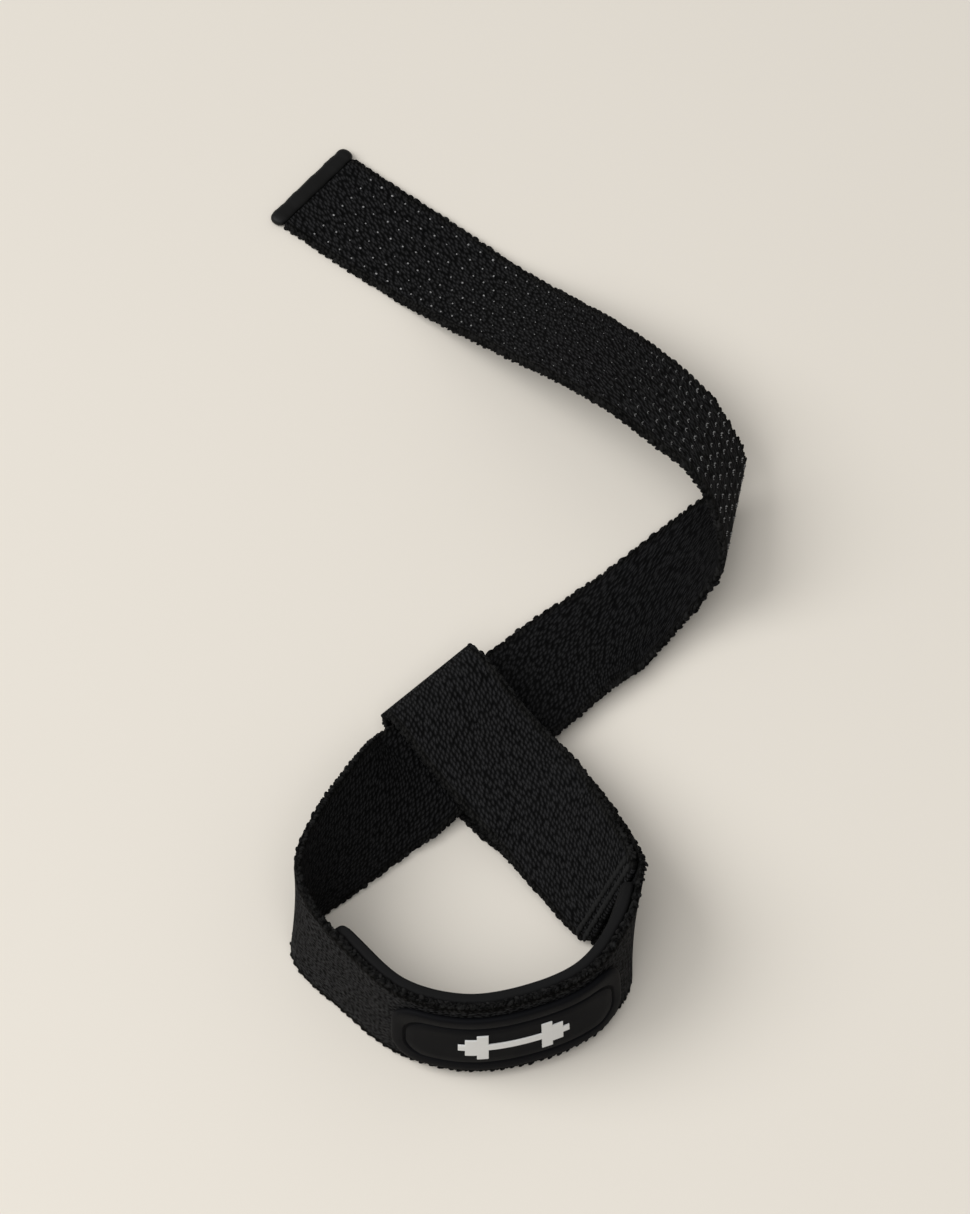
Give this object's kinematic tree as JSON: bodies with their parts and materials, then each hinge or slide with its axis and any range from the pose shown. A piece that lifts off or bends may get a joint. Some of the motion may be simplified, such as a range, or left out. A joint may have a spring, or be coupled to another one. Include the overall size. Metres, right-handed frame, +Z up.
{
  "type": "weightlifting strap",
  "caption": "Cotton wrist strap of the lasso kind, threaded through its own eye, with a neoprene pad inside the wrist loop and a rubber label outside, lying on a table.",
  "frame": {"origin": "middle of the strap's footprint, on the table it lies on", "axes": "+Z up from the table, +Y from the wrist loop towards the tail's tip, +X to the viewer's right in the picture"},
  "size_m": [0.1606, 0.364, 0.04],
  "materials": {
    "webbing": "matte woven cotton",
    "tip": "smooth heat-sealed end",
    "pad": "smooth foam rubber with a fine knit face",
    "label": "matte moulded rubber",
    "mark": "matte light grey rubber"
  },
  "bodies": {
    "root": {"webbing": "webbing", "tail_tip": "tip", "wrist_pad": "pad", "wrist_label": "label", "label_mark": "mark"}
  },
  "joints": []
}
